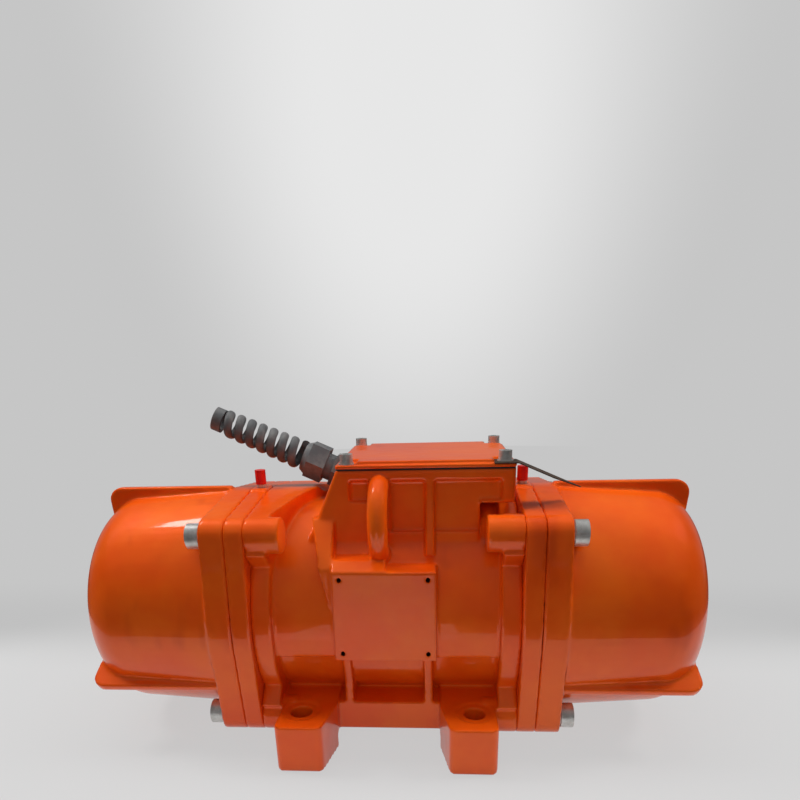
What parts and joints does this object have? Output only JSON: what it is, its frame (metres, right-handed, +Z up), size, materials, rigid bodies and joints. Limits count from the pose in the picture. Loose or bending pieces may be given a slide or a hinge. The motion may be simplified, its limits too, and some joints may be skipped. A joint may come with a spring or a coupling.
{
  "type": "vibration motor",
  "caption": "Foot-mounted vibration motor with domed weight covers on both ends, a terminal box with a spiral cable gland and eccentric weights on the shaft.",
  "frame": {"origin": "centre of the four foot holes on the mounting plane", "axes": "+X along the shaft, +Z up from the mounting plane; the terminal box is set off towards +X and the name pad faces -Y"},
  "size_m": [0.514, 0.244, 0.2711],
  "materials": {
    "orange_enamel": "thick glossy enamel over cast iron, with runs",
    "zinc_steel": "zinc plated",
    "bearing_steel": "ground and polished",
    "bare_iron": "machined and oiled",
    "cage_brass": "machined",
    "grey_nylon": "moulded, satin",
    "black_rubber": "matt",
    "red_plastic": "glossy",
    "lamination_steel": "stacked sheet, varnished",
    "shaft_steel": "turned",
    "copper_winding": "varnished copper",
    "dark_plastic": "moulded"
  },
  "bodies": {
    "motor_body": {"motor_housing": "orange_enamel", "bearing_shield_left": "orange_enamel", "bearing_shield_right": "orange_enamel", "weight_cover_left": "orange_enamel", "weight_cover_right": "orange_enamel", "cover_bolts_left": "zinc_steel", "cover_bolts_right": "zinc_steel", "cover_washers_left": "zinc_steel", "cover_washers_right": "zinc_steel", "bearing_outer_ring_left": "bearing_steel", "bearing_outer_ring_right": "bearing_steel", "bearing_cap_left": "bare_iron", "bearing_cap_right": "bare_iron", "bearing_cap_screws_left": "zinc_steel", "bearing_cap_screws_right": "zinc_steel", "cover_seal_left": "black_rubber", "cover_seal_right": "black_rubber", "stator_core": "lamination_steel", "stator_winding": "copper_winding", "terminal_lid": "orange_enamel", "lid_gasket": "black_rubber", "lid_bolts": "zinc_steel", "lid_washers": "zinc_steel", "hang_tag": "zinc_steel", "terminal_block": "dark_plastic", "terminal_studs": "cage_brass", "earth_screw": "zinc_steel", "gland_body": "grey_nylon", "gland_locknut": "grey_nylon", "gland_seal": "black_rubber", "gland_spiral_nut": "grey_nylon", "grease_nipple_left": "zinc_steel", "grease_nipple_right": "zinc_steel"},
    "rotor": {"rotor_shaft": "shaft_steel", "rotor_core": "lamination_steel", "bearing_inner_ring_left": "bearing_steel", "bearing_inner_ring_right": "bearing_steel", "inner_weight_left": "bare_iron", "inner_weight_right": "bare_iron", "weight_key_left": "zinc_steel", "weight_key_right": "zinc_steel", "weight_washer_left": "zinc_steel", "weight_washer_right": "zinc_steel", "shaft_circlip_left": "zinc_steel", "shaft_circlip_right": "zinc_steel"},
    "roller_cage_left": {"bearing_rollers_left": "bearing_steel", "bearing_cage_left": "cage_brass"},
    "roller_cage_right": {"bearing_rollers_right": "bearing_steel", "bearing_cage_right": "cage_brass"},
    "setting_weight_left": {"outer_weight_left": "bare_iron", "clamp_bolt_left": "zinc_steel"},
    "setting_weight_right": {"outer_weight_right": "bare_iron", "clamp_bolt_right": "zinc_steel"},
    "nipple_cap_left": {"grease_cap_left": "red_plastic"},
    "nipple_cap_right": {"grease_cap_right": "red_plastic"}
  },
  "joints": [
    {"name": "rotor_spin", "type": "hinge", "parent": "motor_body", "child": "rotor", "pos_m": [0, 0, 0.105], "axis": [1, 0, 0], "continuous": true},
    {"name": "cage_spin_left", "type": "hinge", "parent": "motor_body", "child": "roller_cage_left", "pos_m": [0, 0, 0.105], "axis": [1, 0, 0], "continuous": true},
    {"name": "cage_spin_right", "type": "hinge", "parent": "motor_body", "child": "roller_cage_right", "pos_m": [0, 0, 0.105], "axis": [1, 0, 0], "continuous": true},
    {"name": "weight_setting_left", "type": "hinge", "parent": "rotor", "child": "setting_weight_left", "pos_m": [0, 0, 0.105], "axis": [1, 0, 0], "range_deg": [0, 180]},
    {"name": "weight_setting_right", "type": "hinge", "parent": "rotor", "child": "setting_weight_right", "pos_m": [0, 0, 0.105], "axis": [1, 0, 0], "range_deg": [0, 180]},
    {"name": "cap_pull_left", "type": "slide", "parent": "motor_body", "child": "nipple_cap_left", "axis": [0, 0, 1], "range_m": [0, 0.012]},
    {"name": "cap_pull_right", "type": "slide", "parent": "motor_body", "child": "nipple_cap_right", "axis": [0, 0, 1], "range_m": [0, 0.012]}
  ],
  "couplings": [
    {"joint": "cage_spin_left", "follows": "rotor_spin", "ratio": 0.41364},
    {"joint": "cage_spin_right", "follows": "rotor_spin", "ratio": 0.41364}
  ]
}
